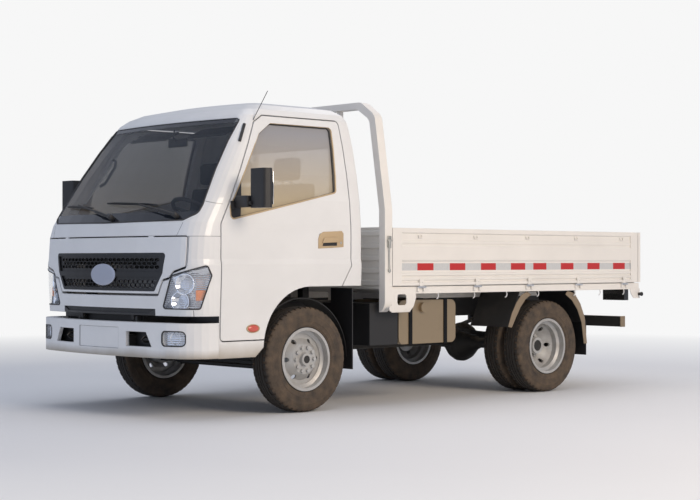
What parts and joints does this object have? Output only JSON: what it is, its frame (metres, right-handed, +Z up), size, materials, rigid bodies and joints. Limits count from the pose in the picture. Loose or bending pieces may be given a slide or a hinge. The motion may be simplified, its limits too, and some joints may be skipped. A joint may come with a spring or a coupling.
{
  "type": "flatbed truck",
  "caption": "Light cab-over flatbed truck with drop sides, a hoop behind the cab, tilting cab, opening doors and front lid, steered front wheels and twin rear wheels.",
  "frame": {"origin": "on the ground, below the middle of the box round the whole truck", "axes": "+X forward, +Y to the driver's left, +Z up"},
  "size_m": [4.91, 2.4934, 2.2683],
  "materials": {
    "white_paint": "gloss",
    "bed_paint": "semi gloss, dusty",
    "chassis_black": "satin, dusty",
    "black_plastic": "satin",
    "grille_black": "semi gloss",
    "tank_silver": "champagne silver paint",
    "wheel_silver": "silver paint",
    "tyre_rubber": "matt, dusty sidewalls",
    "glass_tint": "tinted",
    "lamp_clear": "clear",
    "lamp_red": "gloss",
    "interior_grey": "matt",
    "seat_fabric": "matt",
    "steel_grey": "matt"
  },
  "bodies": {
    "chassis": {"ladder_frame": "chassis_black", "front_axle": "chassis_black", "rear_axle": "chassis_black", "propshaft": "chassis_black", "front_springs": "chassis_black", "rear_springs": "chassis_black", "engine_block": "steel_grey", "radiator": "steel_grey", "fuel_tank": "tank_silver", "battery_box": "black_plastic", "front_bumper": "white_paint", "fog_lamps": "lamp_clear", "front_mudguards": "black_plastic", "rear_mudguards": "black_plastic", "underrun_bar": "chassis_black", "tail_lamps": "lamp_red", "bed_deck": "bed_paint", "headboard": "bed_paint"},
    "cab": {"cab_shell": "white_paint", "cab_hinges": "chassis_black", "windscreen": "glass_tint", "rear_window": "glass_tint", "wipers": "black_plastic", "dashboard": "interior_grey", "seats": "seat_fabric", "headlamps": "lamp_clear", "lower_grille": "black_plastic", "antenna": "black_plastic"},
    "front_lid": {"front_lid": "white_paint", "grille": "grille_black"},
    "door_left": {"door_left": "white_paint", "door_glass_left": "glass_tint", "mirror_left": "black_plastic"},
    "door_right": {"door_right": "white_paint", "door_glass_right": "glass_tint", "mirror_right": "black_plastic"},
    "steering_wheel": {"steering_wheel": "interior_grey"},
    "knuckle_left": {"knuckle_left": "chassis_black"},
    "knuckle_right": {"knuckle_right": "chassis_black"},
    "tie_rod": {"tie_rod": "chassis_black"},
    "wheel_front_left": {"tyre_front_left": "tyre_rubber", "rim_front_left": "wheel_silver"},
    "wheel_front_right": {"tyre_front_right": "tyre_rubber", "rim_front_right": "wheel_silver"},
    "wheel_rear_left": {"tyres_rear_left": "tyre_rubber", "rims_rear_left": "wheel_silver"},
    "wheel_rear_right": {"tyres_rear_right": "tyre_rubber", "rims_rear_right": "wheel_silver"},
    "side_board_left": {"side_board_left": "bed_paint"},
    "side_board_right": {"side_board_right": "bed_paint"},
    "tailgate": {"tailgate": "bed_paint"}
  },
  "joints": [
    {"name": "cab_tilt", "type": "hinge", "parent": "chassis", "child": "cab", "pos_m": [2.36, 0, 0.675], "axis": [0, 1, 0], "range_deg": [0, 45]},
    {"name": "front_lid_hinge", "type": "hinge", "parent": "cab", "child": "front_lid", "pos_m": [2.411, 0, 1.24], "axis": [0, -1, 0], "range_deg": [0, 70]},
    {"name": "door_left_hinge", "type": "hinge", "parent": "cab", "child": "door_left", "pos_m": [2.105, 0.955, 1], "axis": [0, 0, -1], "range_deg": [0, 65]},
    {"name": "door_right_hinge", "type": "hinge", "parent": "cab", "child": "door_right", "pos_m": [2.105, -0.955, 1], "axis": [0, 0, 1], "range_deg": [0, 65]},
    {"name": "steer_left", "type": "hinge", "parent": "chassis", "child": "knuckle_left", "pos_m": [1.315, 0.72, 0.375], "axis": [0, 0, 1], "range_deg": [-35, 35]},
    {"name": "steer_right", "type": "hinge", "parent": "chassis", "child": "knuckle_right", "pos_m": [1.315, -0.72, 0.375], "axis": [0, 0, 1], "range_deg": [-35, 35]},
    {"name": "tie_rod_pivot", "type": "hinge", "parent": "knuckle_left", "child": "tie_rod", "pos_m": [1.165, 0.72, 0.275], "axis": [0, 0, 1], "range_deg": [-35, 35]},
    {"name": "steering_wheel_turn", "type": "hinge", "parent": "cab", "child": "steering_wheel", "pos_m": [1.875, 0.38, 1.4], "axis": [-0.5736, 0, 0.8192], "range_deg": [-490, 490]},
    {"name": "wheel_front_left_spin", "type": "hinge", "parent": "knuckle_left", "child": "wheel_front_left", "pos_m": [1.315, 0.84, 0.375], "axis": [0, 1, 0], "continuous": true},
    {"name": "wheel_front_right_spin", "type": "hinge", "parent": "knuckle_right", "child": "wheel_front_right", "pos_m": [1.315, -0.84, 0.375], "axis": [0, 1, 0], "continuous": true},
    {"name": "wheel_rear_left_spin", "type": "hinge", "parent": "chassis", "child": "wheel_rear_left", "pos_m": [-1.285, 0.77, 0.375], "axis": [0, 1, 0], "continuous": true},
    {"name": "wheel_rear_right_spin", "type": "hinge", "parent": "chassis", "child": "wheel_rear_right", "pos_m": [-1.285, -0.77, 0.375], "axis": [0, 1, 0], "continuous": true},
    {"name": "side_board_left_hinge", "type": "hinge", "parent": "chassis", "child": "side_board_left", "pos_m": [-0.9, 1.035, 0.876], "axis": [-1, 0, 0], "range_deg": [0, 175]},
    {"name": "side_board_right_hinge", "type": "hinge", "parent": "chassis", "child": "side_board_right", "pos_m": [-0.9, -1.035, 0.876], "axis": [1, 0, 0], "range_deg": [0, 175]},
    {"name": "tailgate_hinge", "type": "hinge", "parent": "chassis", "child": "tailgate", "pos_m": [-2.448, 0, 0.876], "axis": [0, -1, 0], "range_deg": [0, 175]}
  ],
  "couplings": [
    {"joint": "steer_right", "follows": "steer_left", "ratio": 1},
    {"joint": "tie_rod_pivot", "follows": "steer_left", "ratio": -1},
    {"joint": "steering_wheel_turn", "follows": "steer_left", "ratio": 14}
  ]
}
